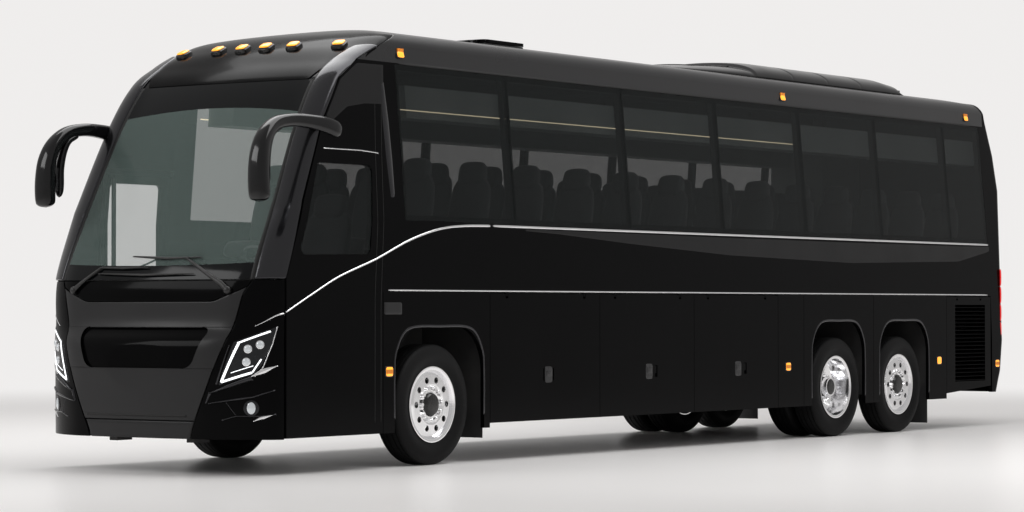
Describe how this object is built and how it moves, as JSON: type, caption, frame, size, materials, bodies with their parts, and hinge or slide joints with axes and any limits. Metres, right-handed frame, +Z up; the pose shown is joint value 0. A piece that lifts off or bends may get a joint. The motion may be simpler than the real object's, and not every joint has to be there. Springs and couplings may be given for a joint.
{
  "type": "coach bus",
  "caption": "Three-axle touring coach with black panelled body, tinted side glass, luggage bays, roof unit, twin drive wheels and a swing-out entrance door.",
  "frame": {"origin": "on the ground below the middle of the body", "axes": "+Z up, the front faces -Y, +X to the driver's (left) side"},
  "size_m": [2.66, 13.6065, 3.995],
  "materials": {
    "body_paint": "gloss",
    "tinted_glass": "gloss",
    "lamp_lens": "gloss",
    "amber_lens": "gloss",
    "black_plastic": "satin",
    "tyre_rubber": "matte",
    "polished_wheel": "polished",
    "chassis_steel": "satin",
    "bay_lining": "matte",
    "bellows_rubber": "matte",
    "seat_cloth": "matte",
    "cabin_plastic": "matte"
  },
  "bodies": {
    "coach_body": {"air_conditioner": "body_paint", "air_springs": "bellows_rubber", "cab_floor": "bay_lining", "cabin_fittings": "cabin_plastic", "chassis_frame": "chassis_steel", "corner_panels": "body_paint", "dashboard": "cabin_plastic", "drive_axle": "chassis_steel", "engine_block": "chassis_steel", "floor_deck": "bay_lining", "front_axle_beam": "chassis_steel", "front_cap": "body_paint", "front_grille": "black_plastic", "front_panel": "body_paint", "headlamps": "lamp_lens", "left_cab_side": "body_paint", "left_side_wall": "body_paint", "luggage_bays": "bay_lining", "marker_lamps": "amber_lens", "mirrors": "black_plastic", "rear_bumper": "body_paint", "rear_cap": "body_paint", "right_cab_side": "body_paint", "right_side_wall": "body_paint", "roof_shell": "body_paint", "seats": "seat_cloth", "side_glass": "tinted_glass", "side_panels": "body_paint", "tag_axle_beam": "chassis_steel", "wheel_housings": "black_plastic", "windscreen": "tinted_glass", "wipers": "black_plastic"},
    "front_wheel_left": {"front_wheel_left": "polished_wheel", "front_tyre_left": "tyre_rubber"},
    "front_wheel_right": {"front_wheel_right": "polished_wheel", "front_tyre_right": "tyre_rubber"},
    "drive_wheels_left": {"drive_wheels_left": "polished_wheel", "drive_tyres_left": "tyre_rubber"},
    "drive_wheels_right": {"drive_wheels_right": "polished_wheel", "drive_tyres_right": "tyre_rubber"},
    "tag_wheel_left": {"tag_wheel_left": "polished_wheel", "tag_tyre_left": "tyre_rubber"},
    "tag_wheel_right": {"tag_wheel_right": "polished_wheel", "tag_tyre_right": "tyre_rubber"},
    "knuckle_left": {"knuckle_left": "chassis_steel"},
    "knuckle_right": {"knuckle_right": "chassis_steel"},
    "tie_rod": {"tie_rod": "chassis_steel"},
    "entrance_door": {"entrance_door": "body_paint", "entrance_glass": "tinted_glass"},
    "door_arms": {"door_arms": "chassis_steel"},
    "engine_door": {"engine_door": "body_paint"},
    "radiator_door": {"radiator_door": "body_paint"},
    "front_hatch": {"front_hatch": "body_paint"},
    "rear_hatch": {"rear_hatch": "body_paint"},
    "bay_door_left_1": {"bay_door_left_1": "body_paint"},
    "bay_door_left_2": {"bay_door_left_2": "body_paint"},
    "bay_door_left_3": {"bay_door_left_3": "body_paint"},
    "bay_door_right_1": {"bay_door_right_1": "body_paint"},
    "bay_door_right_2": {"bay_door_right_2": "body_paint"},
    "bay_door_right_3": {"bay_door_right_3": "body_paint"}
  },
  "joints": [
    {"name": "steer_left", "type": "hinge", "parent": "coach_body", "child": "knuckle_left", "pos_m": [0.9, -4.345, 0.525], "axis": [0, 0, 1], "range_deg": [-40, 40]},
    {"name": "steer_right", "type": "hinge", "parent": "coach_body", "child": "knuckle_right", "pos_m": [-0.9, -4.345, 0.525], "axis": [0, 0, 1], "range_deg": [-40, 40]},
    {"name": "tie_rod_pivot", "type": "hinge", "parent": "knuckle_left", "child": "tie_rod", "pos_m": [0.9, -4.115, 0.365], "axis": [0, 0, 1], "range_deg": [-40, 40]},
    {"name": "front_spin_left", "type": "hinge", "parent": "knuckle_left", "child": "front_wheel_left", "pos_m": [1.1085, -4.345, 0.525], "axis": [1, 0, 0], "continuous": true},
    {"name": "front_spin_right", "type": "hinge", "parent": "knuckle_right", "child": "front_wheel_right", "pos_m": [-1.1085, -4.345, 0.525], "axis": [1, 0, 0], "continuous": true},
    {"name": "drive_spin_left", "type": "hinge", "parent": "coach_body", "child": "drive_wheels_left", "pos_m": [0.9435, 2.795, 0.525], "axis": [1, 0, 0], "continuous": true},
    {"name": "drive_spin_right", "type": "hinge", "parent": "coach_body", "child": "drive_wheels_right", "pos_m": [-0.9435, 2.795, 0.525], "axis": [1, 0, 0], "continuous": true},
    {"name": "tag_spin_left", "type": "hinge", "parent": "coach_body", "child": "tag_wheel_left", "pos_m": [1.1085, 4.2, 0.525], "axis": [1, 0, 0], "continuous": true},
    {"name": "tag_spin_right", "type": "hinge", "parent": "coach_body", "child": "tag_wheel_right", "pos_m": [-1.1085, 4.2, 0.525], "axis": [1, 0, 0], "continuous": true},
    {"name": "door_arm_swing", "type": "hinge", "parent": "coach_body", "child": "door_arms", "pos_m": [-1.13, -5.845, 0.62], "axis": [0, 0, 1], "range_deg": [0, 90]},
    {"name": "door_leaf_pivot", "type": "hinge", "parent": "door_arms", "child": "entrance_door", "pos_m": [-1.13, -5.245, 0.62], "axis": [0, 0, 1], "range_deg": [-90, 0]},
    {"name": "bay_door_left_1_lift", "type": "hinge", "parent": "coach_body", "child": "bay_door_left_1", "pos_m": [1.262, -2.675, 1.475], "axis": [0, -1, 0], "range_deg": [0, 85]},
    {"name": "bay_door_left_2_lift", "type": "hinge", "parent": "coach_body", "child": "bay_door_left_2", "pos_m": [1.262, -0.96, 1.475], "axis": [0, -1, 0], "range_deg": [0, 85]},
    {"name": "bay_door_left_3_lift", "type": "hinge", "parent": "coach_body", "child": "bay_door_left_3", "pos_m": [1.262, 0.69, 1.475], "axis": [0, -1, 0], "range_deg": [0, 85]},
    {"name": "bay_door_right_1_lift", "type": "hinge", "parent": "coach_body", "child": "bay_door_right_1", "pos_m": [-1.262, -2.675, 1.475], "axis": [0, 1, 0], "range_deg": [0, 85]},
    {"name": "bay_door_right_2_lift", "type": "hinge", "parent": "coach_body", "child": "bay_door_right_2", "pos_m": [-1.262, -0.96, 1.475], "axis": [0, 1, 0], "range_deg": [0, 85]},
    {"name": "bay_door_right_3_lift", "type": "hinge", "parent": "coach_body", "child": "bay_door_right_3", "pos_m": [-1.262, 0.69, 1.475], "axis": [0, 1, 0], "range_deg": [0, 85]},
    {"name": "radiator_door_lift", "type": "hinge", "parent": "coach_body", "child": "radiator_door", "pos_m": [1.262, 5.816, 1.475], "axis": [0, -1, 0], "range_deg": [0, 85]},
    {"name": "engine_door_lift", "type": "hinge", "parent": "coach_body", "child": "engine_door", "pos_m": [0, 6.767, 1.685], "axis": [1, 0, 0], "range_deg": [0, 80]},
    {"name": "front_hatch_lift", "type": "hinge", "parent": "coach_body", "child": "front_hatch", "pos_m": [0, -2.348, 3.885], "axis": [1, 0, 0], "range_deg": [0, 60]},
    {"name": "rear_hatch_lift", "type": "hinge", "parent": "coach_body", "child": "rear_hatch", "pos_m": [0, 5.287, 3.885], "axis": [1, 0, 0], "range_deg": [0, 60]}
  ],
  "couplings": [
    {"joint": "steer_right", "follows": "steer_left", "ratio": 1},
    {"joint": "tie_rod_pivot", "follows": "steer_left", "ratio": -1},
    {"joint": "door_leaf_pivot", "follows": "door_arm_swing", "ratio": -1}
  ]
}
